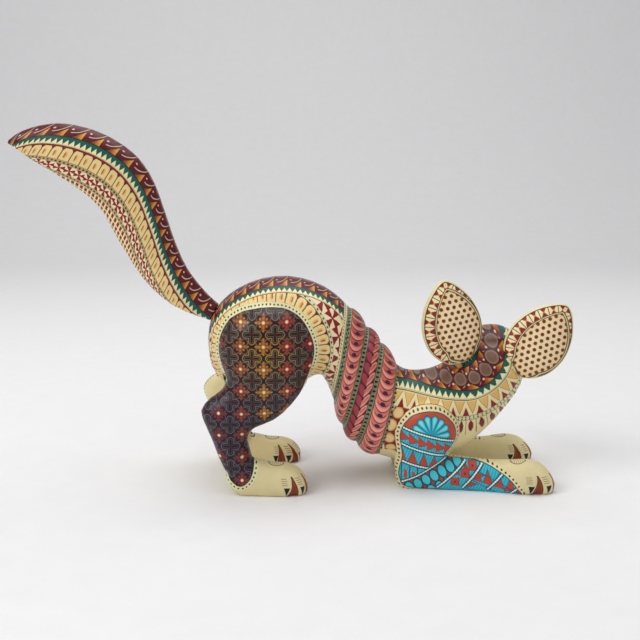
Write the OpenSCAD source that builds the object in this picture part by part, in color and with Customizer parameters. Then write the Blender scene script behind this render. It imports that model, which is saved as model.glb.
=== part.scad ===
// Carved and painted coyote in a play bow, with a plug-in tail and plug-in ears.
// +X runs from the tail tip to the forepaws, +Y is the animal's left, +Z is up.
// Forms are skins drawn through rings. Limbs and head are blocks glued to the trunk on dowels.

/* [Trunk] */
// Half width of the rump, without the thighs
rump_half_w = 33; // [30:1:36]
// Half width of the chest
chest_half_w = 28; // [25:1:30]
// Height of the three carved rolls round the waist
roll_height = 1.7; // [0.5:0.1:2.5]

/* [Limbs] */
// Distance from the middle plane to the centre line of each paw
stance = 29.5; // [28:0.5:31]
// Half width of a thigh
thigh_half_w = 17; // [15:0.5:18]
// Half width of a paw at the toes
paw_half_w = 12.5; // [11:0.5:14]
// Depth of the grooves between the toes
toe_groove = 1.2; // [0.6:0.1:1.6]
// Height of the left paws as a share of the right ones
left_paw_height = 0.86; // [0.8:0.01:1]
// How far the left hind leg stands behind the right one
left_hind_back = 4.5; // [0:0.5:6]

/* [Head] */
// Turn of the head to the animal's left
head_turn = 90; // [80:1:100]
// Sideways lean of the head
head_lean = 13; // [8:1:18]

/* [Ears and tail] */
// Half width of an ear
ear_half_w = 18.6; // [16:0.2:20]
// Length of an ear from its root to its tip
ear_length = 51; // [46:1:54]
// Lean of the right ear, which stands forward
ear_right_lean = 37; // [32:1:42]
// Lean of the left ear, which stands back
ear_left_lean = -11; // [-16:1:-6]
// Half thickness of the tail at its fullest
tail_half_w = 12; // [9:0.5:14]

/* [Pegs] */
// Radius of the tail peg
tail_peg_r = 3; // [2.5:0.25:3.5]
// Radius of each ear peg
ear_peg_r = 2; // [1.75:0.25:2.5]
// Radius of the glued dowels
dowel_r = 4; // [3:0.5:5]
// Gap between a plug-in piece and its seat
seat_gap = 0.3; // [0.25:0.05:0.4]
// Radial clearance of a peg or dowel in its hole
peg_clearance = 0.05; // [0.03:0.01:0.08]

/* [Hidden] */

// Moves the drawn figure so that the middle of its footprint box is the origin
footprint_shift = [15.2, -11.6, 0];
glue_gap = 0.02;
trunk_sides = 36;
limb_sides = 22;
floor_block = 400;

cream = [0.93, 0.87, 0.63];
maroon = [0.30, 0.10, 0.11];
turquoise = [0.15, 0.66, 0.72];
bare_wood = [0.80, 0.66, 0.46];

// Each ring is [first x, first z, second x, second z, centre y, half width]:
// the two ends of its long axis in the side view, then where it lies across.
trunk_rings = [
    [-67.5, 89, -67.5, 83, 0, 4],
    [-66.5, 98, -65.5, 70, 0, rump_half_w - 15],
    [-60, 109.5, -58.5, 61, 0, rump_half_w - 6],
    [-49, 118, -47, 57, 0, rump_half_w - 2],
    [-35, 123.5, -33, 56, 0, rump_half_w],
    [-19, 125, -20, 57, 0, rump_half_w],
    [-4, 121.5, -8, 62, 0, rump_half_w - 1],
    [8, 115, 1, 65, 0, rump_half_w - 3],
    [18, 105.5, 8, 49.5, 0, 28],
    [28.5, 93.5, 13.5, 33, 0, 27],
    [37.5, 83.5, 22, 22, 0, 27],
    [47.5, 69.5, 35, 14, 0, chest_half_w - 1],
    [57, 66, 50, 10.5, 0, chest_half_w],
    [68, 67, 67, 9, 0, chest_half_w],
    [77, 71, 84, 15, 0, chest_half_w - 2],
    [85.5, 75, 97, 25, 0, 24],
    [93, 81, 109.5, 38, 0, 22],
    [100, 85, 120.5, 52, 1, 20],
    [106, 86, 125.5, 62, 3, 17],
    [112, 83, 125, 68, 5, 10],
    [116, 79, 122, 73, 6, 4]
];
// The rings at which the rolls begin and end
first_roll = 8;
last_roll = 11;

hind_leg_rings = [
    [-29, 111.5, -35, 111.5, -22, 3],
    [-18, 108.5, -48, 107, -23, thigh_half_w - 6],
    [-8.5, 100.5, -56, 99, -24, thigh_half_w - 1.5],
    [-4, 89.5, -59.5, 89, -24.5, thigh_half_w],
    [-4.5, 77.5, -59, 78, -25, thigh_half_w],
    [-8.5, 65, -55.5, 68.5, -25.5, thigh_half_w - 1],
    [-16.5, 53, -58.5, 61, -26, thigh_half_w - 2.5],
    [-27, 43.5, -65, 56.5, -27, thigh_half_w - 4.5],
    [-38.5, 39, -70.5, 49.5, -28, 11],
    [-43, 33, -68, 40.5, -28, 10],
    [-42, 26, -64, 31, -28.5, 10],
    [-40, 18, -60.5, 21, -28.5, 10.5],
    [-38, 10, -56.5, 11, -28.5, 10.5],
    [-38, 3, -51, 3, -28.5, 8]
];
hind_paw_rings = [
    [-56, 8, -56, 2, -stance, 4],
    [-53.5, 14, -53, -3.5, -stance, paw_half_w - 4],
    [-47, 20, -46, -6, -stance, paw_half_w - 1.5],
    [-38, 20, -38, -6, -stance, paw_half_w - 1],
    [-29, 17.5, -29, -6, -stance, paw_half_w - 0.5],
    [-21, 17, -21, -6, -stance, paw_half_w],
    [-14, 14.5, -14, -5, -stance, paw_half_w - 1],
    [-9.5, 9.5, -9.5, -3, -stance, paw_half_w - 4],
    [-7.8, 5, -7.8, 1, -stance, 3]
];
foreleg_rings = [
    [67, 52, 61, 52, -23, 3],
    [75, 49, 52.5, 48.5, -24, 9],
    [81, 42, 47.5, 41.5, -24.5, 11.5],
    [82, 34, 45.8, 33, -24.5, 12],
    [79, 26, 45, 24, -24, 12],
    [74, 18, 44.5, 14, -22.5, 11.5],
    [68, 10, 45.5, 7, -21.5, 10.5],
    [62, 3, 50, 2, -21, 8]
];
forearm_rings = [
    [45.5, 13, 45.5, 5, -20.5, 4],
    [49, 19, 49, -3, -20.5, 8.5],
    [57, 21, 57, -5, -21, 10],
    [70, 20.5, 70, -5, -22, 10],
    [84, 19, 84, -5, -23.5, 9.5],
    [98, 17.5, 98, -5, -25.5, 9.5],
    [110, 17.5, 110, -5.5, -27.5, 10.5],
    [121, 18.5, 121, -6, -stance, paw_half_w - 1],
    [130, 17, 130, -5.5, -stance, paw_half_w - 1],
    [136.5, 11.5, 136.5, -3.5, -stance, paw_half_w - 3.5],
    [139.5, 6, 139.5, 1, -stance, 3]
];
tail_rings = [
    [-53, 101.5, -58, 92, 0, 5],
    [-62, 108.5, -67, 98, 0, 5.5],
    [-70.5, 117, -79.5, 102.5, 0, 7],
    [-80, 130, -91.5, 109, 0, 9],
    [-87, 146.5, -103, 119.5, 0, tail_half_w - 1.5],
    [-92.5, 164.5, -112, 132, 0, tail_half_w - 0.5],
    [-98.5, 182, -120.5, 147, 0, tail_half_w],
    [-107, 195.5, -128.5, 162.5, 0, tail_half_w],
    [-118, 204.5, -137.5, 173, 0, tail_half_w],
    [-129.5, 210.5, -148.5, 181, 0, tail_half_w - 1],
    [-141, 214, -160, 188.5, 0, tail_half_w - 2.5],
    [-153, 215.5, -170, 194.5, 0, tail_half_w - 4.5],
    [-165, 214, -177, 199.5, 0, tail_half_w - 6.5],
    [-175.5, 210.5, -181, 202.5, 0, tail_half_w - 9],
    [-182.5, 206, -183.5, 203.5, 0, 1]
];
// The head is drawn facing +X about its own middle, then turned and set on the neck.
head_rings = [
    [-25, 5, -25, -7, 0, 7],
    [-22, 12, -21.5, -13, 0, 14],
    [-14, 17, -13.5, -17, 0, 19],
    [-3, 19.5, -3, -18.5, 0, 20.5],
    [8, 18, 8, -18, 0, 19.5],
    [17, 13.5, 16, -16, 0, 16],
    [25, 8, 24.5, -13.5, 0, 12],
    [34, 4.5, 34, -11.5, 0, 9],
    [42, 3, 42, -10, 0, 7.5],
    [47.5, 1, 47, -8, 0, 5.5],
    [49.8, -1.5, 49.8, -5, 0, 2]
];
head_at = [108.5, 16, 72.5];
head_down = 8;

// Each ear ring is [share of the length, share of the half width, back bulge, front hollow].
ear_rings = [
    [0, 0.3, 2.5, 0],
    [0.05, 0.52, 4, 0],
    [0.12, 0.72, 5, 0],
    [0.22, 0.89, 6, 1],
    [0.34, 0.98, 6.6, 3.6],
    [0.46, 1, 6.8, 5],
    [0.6, 0.93, 6.4, 4.9],
    [0.74, 0.77, 5.2, 3.8],
    [0.86, 0.54, 3.6, 2.2],
    [0.95, 0.3, 1.8, 0.8],
    [1, 0.08, 0.6, 0]
];
ear_rim = 1.7;
ear_sides = 24;
ear_right_at = [117.5, -9.5, 67.5];
ear_left_at = [83, -9.5, 73.5];
// Turn of each ear about its own length, so that its hollow faces forward and out
ear_right_turn = -8;
ear_left_turn = 8;
// Where each ear peg enters its ear, then its lean along the body and to the back of the head
ear_peg_set = [0, -1.5, 0];
ear_right_peg_lean = 50;
ear_left_peg_lean = -30;
ear_peg_tilt = 18;
ear_peg_up = 9.5;
ear_peg_down = 11;

// Middle of each toe fan, the angle between its grooves, their width, height and how far they run
hind_toes_at = -27;
fore_toes_at = 117;
toe_fan = 30;
toe_groove_w = 4.8;
toe_wedge_top = 12;
toe_reach = 26;
// How far the toes of the left hind paw turn in under the body
left_hind_toes_in = 15;

tail_peg_mouth = [-64.5, 0, 103.3];
tail_peg_angle = -60;
tail_peg_out = 12;
tail_peg_in = 16;

hip_dowel_at = [-31, 0, 86];
hip_dowel_half = 21;
shoulder_dowel_at = [63, 0, 36];
shoulder_dowel_half = 24;
neck_dowel_at = [108, 8, 60];
neck_dowel_lean = 5;
neck_dowel_half = 13;

// ---- skins ----

// One value of a smooth curve through four rows, between the middle two
function between(p, q, r, s, f) =
    0.5 * (2 * q + (r - p) * f + (2 * p - 5 * q + 4 * r - s) * f * f + (3 * q - p - 3 * r + s) * f * f * f);

function row_at(rows, t) =
    let (last = len(rows) - 1, i = min(floor(t), last - 1))
    between(rows[max(i - 1, 0)], rows[i], rows[i + 1], rows[min(i + 2, last)], t - i);

// Where rings are drawn along the rows: n in each step, and m in each step from row a to row b
function steps_along(rows, n, m = 0, a = 0, b = 0) = [
    for (i = [0 : len(rows) - 2])
        let (k = i >= a && i < b ? m : n)
        for (j = [0 : k - 1]) i + j / k,
    len(rows) - 1
];

function long_axis(row) = [row[0] - row[2], 0, row[1] - row[3]] / 2;
function middle(row) = [(row[0] + row[2]) / 2, row[4], (row[1] + row[3]) / 2];

function ring(row, grow, sides) =
    let (u = long_axis(row), reach = u * (1 + grow / norm(u)))
    [for (k = [0 : sides - 1]) let (a = 360 * k / sides)
        middle(row) + reach * cos(a) + [0, (row[5] + grow) * sin(a), 0]];

// A closed skin over rings that all have the same number of points
module skin_over(rings, outward) {
    n = len(rings[0]);
    last = len(rings) - 1;
    walls = [
        for (j = [0 : last - 1]) for (k = [0 : n - 1])
            let (a = j * n + k, b = j * n + (k + 1) % n, c = b + n, d = a + n)
            for (f = [[a, b, c], [a, c, d]]) outward ? f : [f[2], f[1], f[0]]
    ];
    near_end = [for (k = [0 : n - 1]) outward ? n - 1 - k : k];
    far_end = [for (k = [0 : n - 1]) last * n + (outward ? k : n - 1 - k)];
    polyhedron(points = [for (r = rings) for (p = r) p], faces = concat(walls, [near_end, far_end]));
}

module skin(rows, sides, grow = 0, n = 3) {
    stations = steps_along(rows, n);
    way = middle(rows[1]) - middle(rows[0]);
    skin_over([for (t = stations) ring(row_at(rows, t), grow, sides)],
        cross([0, 1, 0], long_axis(rows[0])) * way > 0);
}

// How far a roll stands out of the trunk at place t along its rings
function roll(t) =
    t > first_roll && t < last_roll ? roll_height * pow(abs(sin(180 * (t - first_roll))), 0.6) : 0;

module trunk_form(grow = 0) {
    stations = steps_along(trunk_rings, 2, 8, first_roll, last_roll);
    skin_over([for (t = stations) ring(row_at(trunk_rings, t), grow + roll(t), trunk_sides)], true);
}

// ---- forms, in the place where they sit ----

module above_floor() {
    difference() {
        union() children();
        translate([-floor_block / 2, -floor_block / 2, -floor_block]) cube(floor_block);
    }
}

// The right limb as drawn, or its mirror image on the left
module on_side(right) {
    if (right) children();
    else mirror([0, 1, 0]) children();
}

// Rows of a paw at the height it has on the right or on the left
function paw_rows(rows, right) =
    [for (r = rows) [r[0], r[1] * (right ? 1 : left_paw_height), r[2], r[3], r[4], r[5]]];

// Four upright wedges fanned evenly round the toes, pointed at the top, the fan turned to the body
module toe_wedges(at, turn = 0) {
    half = toe_groove_w / 2;
    for (step = [-1.5, -0.5, 0.5, 1.5])
        translate([at, -stance, 0]) rotate([90, 0, 90 + turn + step * toe_fan])
            linear_extrude(toe_reach) polygon([[-half, -1], [half, -1], [0, toe_wedge_top]]);
}

module hind_leg_form(right, grow = 0) on_side(right) translate([right ? 0 : -left_hind_back, 0, 0])
    above_floor() {
        skin(hind_leg_rings, limb_sides, grow, 2);
        skin(paw_rows(hind_paw_rings, right), limb_sides, grow, 2);
    }

module foreleg_form(right, grow = 0) on_side(right) above_floor() {
    skin(foreleg_rings, limb_sides, grow, 2);
    skin(paw_rows(forearm_rings, right), limb_sides, grow, 2);
}

module head_form(grow = 0) translate(head_at) rotate([0, head_lean, 0]) rotate([0, 0, head_turn])
    rotate([0, head_down, 0]) skin(head_rings, 28, grow, 2);

module ear_form() {
    half = ear_sides / 2;
    function ear_ring(row) = [
        for (k = [0 : half]) let (a = 180 * k / half)
            [row[1] * ear_half_w * cos(a), -ear_rim - row[2] * sin(a), row[0] * ear_length],
        for (k = [0 : half]) let (a = 180 - 180 * k / half)
            [(row[1] * ear_half_w - 0.6) * cos(a), ear_rim - row[3] * sin(a), row[0] * ear_length]
    ];
    skin_over([for (t = steps_along(ear_rings, 2)) ear_ring(row_at(ear_rings, t))], true);
}

module ear_place(right) {
    translate(right ? ear_right_at : ear_left_at)
        rotate([0, right ? ear_right_lean : ear_left_lean, 0])
            rotate([0, 0, right ? ear_right_turn : ear_left_turn]) children();
}

// ---- pegs and dowels, or their holes when grown ----

module tail_peg_bar(grow = 0) translate(tail_peg_mouth) rotate([0, tail_peg_angle, 0])
    translate([0, 0, -tail_peg_in - 4 * grow])
        cylinder(r = tail_peg_r + grow, h = tail_peg_in + tail_peg_out + 8 * grow, $fn = 48);

module ear_peg_bar(right, grow = 0) translate((right ? ear_right_at : ear_left_at) + ear_peg_set)
    rotate([ear_peg_tilt, right ? ear_right_peg_lean : ear_left_peg_lean, 0])
        translate([0, 0, -ear_peg_down - 4 * grow])
            cylinder(r = ear_peg_r + grow, h = ear_peg_down + ear_peg_up + 8 * grow, $fn = 48);

module cross_dowel_bar(at, half, grow = 0) translate(at) rotate([90, 0, 0])
    cylinder(r = dowel_r + grow, h = 2 * half + 8 * grow, center = true, $fn = 48);

module neck_dowel_bar(grow = 0) translate(neck_dowel_at) rotate([0, neck_dowel_lean, 0])
    cylinder(r = dowel_r + grow, h = 2 * neck_dowel_half + 8 * grow, center = true, $fn = 48);

module hip_dowel_bar(grow = 0) cross_dowel_bar(hip_dowel_at, hip_dowel_half, grow);
module shoulder_dowel_bar(grow = 0) cross_dowel_bar(shoulder_dowel_at, shoulder_dowel_half, grow);

// Joins carved forms into one skin, before the round holes are drilled
module carved() resize([0, 0, 0]) difference() { children(0); children([1 : $children - 1]); }

// ---- nodes ----

module trunk() color(cream) difference() {
    carved() {
        trunk_form();
        head_form(glue_gap);
        hind_leg_form(true, glue_gap);
        hind_leg_form(false, glue_gap);
        foreleg_form(true, glue_gap);
        foreleg_form(false, glue_gap);
    }
    tail_peg_bar(peg_clearance);
    hip_dowel_bar(peg_clearance);
    shoulder_dowel_bar(peg_clearance);
    neck_dowel_bar(peg_clearance);
    ear_peg_bar(true, peg_clearance);
    ear_peg_bar(false, peg_clearance);
}

module head() color(cream) difference() {
    head_form();
    neck_dowel_bar(peg_clearance);
    ear_peg_bar(true, peg_clearance);
    ear_peg_bar(false, peg_clearance);
}

module hind_leg(right) color(maroon) difference() {
    carved() {
        hind_leg_form(right);
        difference() {
            on_side(right) translate([right ? 0 : -left_hind_back, 0, 0])
                toe_wedges(hind_toes_at, right ? 0 : left_hind_toes_in);
            hind_leg_form(right, -toe_groove);
        }
    }
    hip_dowel_bar(peg_clearance);
}

module foreleg(right) color(turquoise) difference() {
    carved() {
        foreleg_form(right);
        difference() {
            on_side(right) toe_wedges(fore_toes_at);
            foreleg_form(right, -toe_groove);
        }
    }
    shoulder_dowel_bar(peg_clearance);
}

module tail() color(cream) difference() {
    carved() {
        skin(tail_rings, 24, 0, 3);
        trunk_form(seat_gap);
    }
    tail_peg_bar(peg_clearance);
}

module ear(right) color(cream) difference() {
    carved() {
        ear_place(right) ear_form();
        trunk_form(seat_gap);
        head_form(seat_gap);
    }
    ear_peg_bar(right, peg_clearance);
}

module tail_peg() color(bare_wood) tail_peg_bar();
module ear_peg(right) color(bare_wood) ear_peg_bar(right);
module hip_dowel() color(bare_wood) hip_dowel_bar();
module shoulder_dowel() color(bare_wood) shoulder_dowel_bar();
module neck_dowel() color(bare_wood) neck_dowel_bar();

translate(footprint_shift) {
    trunk();
    head();
    hind_leg(true);  // hind_leg_right
    hind_leg(false);  // hind_leg_left
    foreleg(true);  // foreleg_right
    foreleg(false);  // foreleg_left
    tail();
    ear(true);  // ear_right
    ear(false);  // ear_left
    tail_peg();
    ear_peg(true);  // ear_right_peg
    ear_peg(false);  // ear_left_peg
    hip_dowel();
    shoulder_dowel();
    neck_dowel();
}
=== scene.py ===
import math

import bmesh
import bpy
import numpy as np
from mathutils import Euler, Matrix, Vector
from mathutils.bvhtree import BVHTree


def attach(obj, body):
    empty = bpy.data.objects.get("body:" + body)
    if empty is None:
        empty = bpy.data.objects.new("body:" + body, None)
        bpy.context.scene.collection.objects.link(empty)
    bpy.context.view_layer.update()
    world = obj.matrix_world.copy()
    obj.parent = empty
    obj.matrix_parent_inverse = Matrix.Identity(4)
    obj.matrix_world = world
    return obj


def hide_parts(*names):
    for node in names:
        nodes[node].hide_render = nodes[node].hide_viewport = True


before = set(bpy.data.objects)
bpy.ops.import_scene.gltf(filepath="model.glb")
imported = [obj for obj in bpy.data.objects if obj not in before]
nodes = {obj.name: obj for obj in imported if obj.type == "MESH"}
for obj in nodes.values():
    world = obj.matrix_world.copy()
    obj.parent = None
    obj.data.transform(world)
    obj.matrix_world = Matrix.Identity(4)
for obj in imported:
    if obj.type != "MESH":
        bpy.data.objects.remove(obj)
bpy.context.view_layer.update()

MM = 0.001
# The carver's own zero: where it lies in the row frame, in millimetres
ZERO = np.array([15.2, -11.6, 0.0])
CARVED = ["trunk", "head", "hind_leg_right", "hind_leg_left", "foreleg_right", "foreleg_left"]
# Their numbers in that list
TRUNK_PIECE, RIGHT_HIND, LEFT_HIND, RIGHT_FORE, LEFT_FORE = 0, 2, 3, 4, 5
DOWELS = ["hip_dowel", "shoulder_dowel", "neck_dowel"]

# ---------------------------------------------------------------- the carver's lines, in millimetres

# Trunk stations: back line x and z, belly line x and z, half width
TRUNK = np.array([
    (-67.5, 89, -67.5, 83, 4), (-66.5, 98, -65.5, 70, 18), (-60, 109.5, -58.5, 61, 27),
    (-49, 118, -47, 57, 31), (-35, 123.5, -33, 56, 33), (-19, 125, -20, 57, 33),
    (-4, 121.5, -8, 62, 32), (8, 115, 1, 65, 30), (18, 105.5, 8, 49.5, 28),
    (28.5, 93.5, 13.5, 33, 27), (37.5, 83.5, 22, 22, 27), (47.5, 69.5, 35, 14, 27),
    (57, 66, 50, 10.5, 28), (68, 67, 67, 9, 28), (77, 71, 84, 15, 26),
    (85.5, 75, 97, 25, 24), (93, 81, 109.5, 38, 22), (100, 85, 120.5, 52, 20),
    (106, 86, 125.5, 62, 17), (112, 83, 125, 68, 10),
])
FIRST_ROLL, LAST_ROLL = 8, 11
# Usual distance between stations, so that a station number can be painted by in millimetres
ROW_STEP = 13.0
TAIL = np.array([
    (-53, 101.5, -58, 92, 5), (-62, 108.5, -67, 98, 5.5), (-70.5, 117, -79.5, 102.5, 7),
    (-80, 130, -91.5, 109, 9), (-87, 146.5, -103, 119.5, 10.5), (-92.5, 164.5, -112, 132, 11.5),
    (-98.5, 182, -120.5, 147, 12), (-107, 195.5, -128.5, 162.5, 12), (-118, 204.5, -137.5, 173, 12),
    (-129.5, 210.5, -148.5, 181, 11), (-141, 214, -160, 188.5, 9.5), (-153, 215.5, -170, 194.5, 7.5),
    (-165, 214, -177, 199.5, 5.5), (-175.5, 210.5, -181, 202.5, 3), (-182.5, 206, -183.5, 203.5, 1),
])
# Dark patch of the thigh and shank, seen from the side
THIGH_PATCH = [
    (-41, 109.5), (-31, 111), (-20, 110), (-11.5, 105), (-6, 96.5), (-3.5, 87.5), (-4.5, 78.5),
    (-9, 66.5), (-14.5, 55), (-23, 47), (-33.5, 41.5), (-40.5, 38), (-43, 32), (-40.5, 24.5),
    (-39, 17.5), (-41.5, 10), (-47, 6), (-53, 9), (-58, 17), (-63, 27), (-68, 40), (-73, 50),
    (-71, 57), (-62, 61), (-56, 66), (-56, 71), (-58, 77), (-59.7, 84.5), (-59, 93), (-54.5, 102),
    (-48, 107),
]
SHOULDER_DISC = [
    (48, 22), (46.8, 34), (49.4, 41.5), (55, 47.2), (63.6, 49.4), (71.6, 47.8), (78.3, 41.7),
    (80.5, 34.6), (78.6, 28.4), (74, 22.4), (77, 20), (90, 18.6), (101, 15.6), (110, 10.4),
    (115.5, 4.5), (118, -1), (100, -1.2), (70, 0.2), (51, 1.6), (47.2, 6), (46.4, 12.4),
]
# Middle of the neck's maroon band, from the waist to the crown
NECK_BAND = [
    (34, 80), (44, 72.6), (58, 69), (70, 66.4), (80, 65.2), (89, 65.4), (97, 69.8), (102, 76.2),
    (104, 83), (104, 90), (103, 97),
]
# Line that spaces the rows of triangles and lens shapes below the band
THROAT_ROWS = [
    (30, 68), (42, 60), (54, 56), (68, 53), (82, 52), (94, 53), (104, 57.5), (113, 65),
    (119, 74), (120, 86), (119, 98),
]
EAR = [
    (0, 0.3), (0.05, 0.52), (0.12, 0.72), (0.22, 0.89), (0.34, 0.98), (0.46, 1), (0.6, 0.93),
    (0.74, 0.77), (0.86, 0.54), (0.95, 0.3), (1, 0.08),
]
EAR_HALF_W, EAR_LENGTH = 18.6, 51
# The head's middle and its turns, and the eyes' place on it
HEAD_AT = (108.5, 16, 72.5)
HEAD_TURNS = (("Y", 13), ("Z", 90), ("Y", 8))
EYE_AT = (19.0, 4.5)
EYE_TILT = 0.28
EYE_HALF_H = 2.8
# Distance from the middle plane to each paw's centre line, and how far the left hind leg stands back
STANCE = 29.5
LEFT_HIND_BACK = 4.5
HEEL_RISE = 4.5
# Middle of each toe fan along the body, the degrees between its grooves,
# and how far the left hind fan turns inwards
FORE_TOES_AT, HIND_TOES_AT = 117.0, -27.0
TOE_FAN = 30.0
LEFT_HIND_TOES_IN = 15.0
# A degree in radians
DEGREE = 0.01745
# Petals in the whole turn of the shoulder's fan
FAN_PETALS = 14
# Each ear's root, then its lean and turn in degrees
EARS = {"ear_right": ((117.5, -9.5, 67.5), 37, -8), "ear_left": ((83, -9.5, 73.5), -11, 8)}


def smooth_through(points, closed=False, steps=8):
    """A smooth curve through points, as a polyline."""
    p = np.array(points, float)
    n = len(p)
    spans = n if closed else n - 1
    rows = []
    for i in range(spans):
        if closed:
            a, b, c, d = p[(i - 1) % n], p[i], p[(i + 1) % n], p[(i + 2) % n]
        else:
            a, b, c, d = p[max(i - 1, 0)], p[i], p[i + 1], p[min(i + 2, n - 1)]
        for j in range(steps):
            f = j / steps
            rows.append(0.5 * (2 * b + (c - a) * f + (2 * a - 5 * b + 4 * c - d) * f**2
                               + (3 * b - a - 3 * c + d) * f**3))
    rows.append(p[0] if closed else p[-1])
    return np.array(rows)


def along_and_off(xz, line):
    """How far along a polyline each point lies, and how far off it: positive on its right-hand side."""
    best = np.full(len(xz), 1e9)
    along = np.zeros(len(xz))
    off = np.zeros(len(xz))
    run = 0.0
    for a, b in zip(line[:-1], line[1:]):
        way = b - a
        length = max(np.hypot(*way), 1e-9)
        way = way / length
        rel = xz - a
        f = np.clip(rel @ way, 0, length)
        gap = rel - f[:, None] * way
        dist = np.hypot(gap[:, 0], gap[:, 1])
        side = np.where(rel[:, 0] * way[1] - rel[:, 1] * way[0] >= 0, 1, -1)
        near = dist < best
        best[near] = dist[near]
        along[near] = run + f[near]
        off[near] = (dist * side)[near]
        run += length
    return along, off


def inside(xz, loop):
    """Whether each point is inside a closed polyline."""
    odd = np.zeros(len(xz), bool)
    for a, b in zip(loop[:-1], loop[1:]):
        crosses = (a[1] > xz[:, 1]) != (b[1] > xz[:, 1])
        at = a[0] + (b[0] - a[0]) * (xz[:, 1] - a[1]) / (b[1] - a[1] + 1e-12)
        odd ^= crosses & (xz[:, 0] < at)
    return odd


def patch_distance(xz, loop):
    """How far along a patch's outline each point lies, and how far outside it."""
    along, off = along_and_off(xz, loop)
    return along, np.where(inside(xz, loop), -np.abs(off), np.abs(off))


def stations(p, rings):
    """Station number, distance along the back and girth from the back line, at each point."""
    fine = smooth_through(rings, steps=12)
    middle = (fine[:, 0:2] + fine[:, 2:4]) / 2
    half = (fine[:, 0:2] - fine[:, 2:4]) / 2
    size = np.hypot(half[:, 0], half[:, 1])
    back = np.concatenate([[0], np.cumsum(np.hypot(*np.diff(fine[:, 0:2], axis=0).T))])
    xz = p[:, [0, 2]]
    station = np.zeros(len(p))
    best = np.full(len(p), 1e9)
    up = np.zeros(len(p))
    last_c = last_a = None
    for j in range(len(fine)):
        rel = xz - middle[j]
        c = rel[:, 0] * half[j, 1] - rel[:, 1] * half[j, 0]
        a = (rel @ half[j]) / size[j] ** 2
        if last_c is not None:
            f = np.clip(last_c / (last_c - c + 1e-12), 0, 1)
            here = (last_c * c <= 0) & (np.abs(a) < np.minimum(best, 1.6))
            station[here] = (j - 1 + f)[here]
            up[here] = (last_a + (a - last_a) * f)[here]
            best[here] = np.abs(a)[here]
        last_c, last_a = c, a
    grid = np.arange(len(fine))
    across = np.interp(station, grid, fine[:, 4])
    tall = np.interp(station, grid, size)
    turn = np.arctan2(np.abs(p[:, 1]) / across, up)
    girth = np.zeros(len(p))
    steps = 24
    for k in range(steps):
        mid = turn * (k + 0.5) / steps
        girth += np.hypot(across * np.cos(mid), tall * np.sin(mid)) * turn / steps
    return station / 12, np.interp(station, grid, back), girth


# ---------------------------------------------------------------- the carved skin


def placed(name, data):
    """A new object in the scene."""
    thing = bpy.data.objects.new(name, data)
    bpy.context.scene.collection.objects.link(thing)
    return thing


def arrays(mesh):
    """Vertices in the carver's millimetres and the corner indices of each face."""
    co = np.zeros(len(mesh.vertices) * 3)
    mesh.vertices.foreach_get("co", co)
    return co.reshape(-1, 3) / MM - ZERO, [list(f.vertices) for f in mesh.polygons]


def remeshed(names, voxel):
    """One even skin over several CAD nodes, as arrays, without loose inner shells."""
    joined = bmesh.new()
    for name in names:
        joined.from_mesh(nodes[name].data)
    mesh = bpy.data.meshes.new("joined")
    joined.to_mesh(mesh)
    joined.free()
    block = placed("joined", mesh)
    skin = block.modifiers.new("even_skin", "REMESH")
    skin.mode = "VOXEL"
    skin.voxel_size = voxel
    bpy.context.view_layer.update()
    even = bpy.data.meshes.new_from_object(block.evaluated_get(bpy.context.evaluated_depsgraph_get()))
    bpy.data.objects.remove(block)
    co, faces = arrays(even)
    bpy.data.meshes.remove(even)
    return outer_shell(co, faces)


def outer_shell(co, faces):
    """Only the largest connected shell."""
    quads = np.array([f if len(f) == 4 else f + f[-1:] for f in faces])
    label = np.arange(len(co))
    while True:
        low = label[quads].min(axis=1)
        before = label.copy()
        np.minimum.at(label, quads.ravel(), np.repeat(low, 4))
        label = label[label]
        if (label == before).all():
            break
    values, counts = np.unique(label[quads[:, 0]], return_counts=True)
    kept = quads[label[quads[:, 0]] == values[counts.argmax()]]
    used, index = np.unique(kept, return_inverse=True)
    return co[used], index.reshape(-1, 4)


def neighbours(quads):
    """Each edge of the skin once, as a pair of vertices."""
    edges = np.concatenate([quads[:, [0, 1]], quads[:, [1, 2]], quads[:, [2, 3]], quads[:, [3, 0]]])
    edges = edges[edges[:, 0] != edges[:, 1]]
    return np.unique(np.sort(edges, axis=1), axis=0)


def relax(co, edges, weight, rounds, keep_volume=True):
    """Sands the skin: each vertex moves towards the mean of its neighbours by its weight."""
    n = len(co)
    degree = np.bincount(edges.ravel(), minlength=n)[:, None]
    for _ in range(rounds):
        for pull in ((0.5, -0.52) if keep_volume else (0.5,)):
            mean = np.zeros_like(co)
            for axis in range(3):
                mean[:, axis] = (np.bincount(edges[:, 0], co[edges[:, 1], axis], n)
                                 + np.bincount(edges[:, 1], co[edges[:, 0], axis], n))
            co = co + pull * weight[:, None] * (mean / degree - co)
    return co


def vertex_normals(co, quads):
    """The way that the skin faces at each vertex."""
    flat = np.cross(co[quads[:, 2]] - co[quads[:, 0]], co[quads[:, 3]] - co[quads[:, 1]])
    normal = np.zeros_like(co)
    for corner in range(4):
        for axis in range(3):
            normal[:, axis] += np.bincount(quads[:, corner], flat[:, axis], len(co))
    return normal / np.maximum(np.linalg.norm(normal, axis=1), 1e-9)[:, None]


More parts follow.
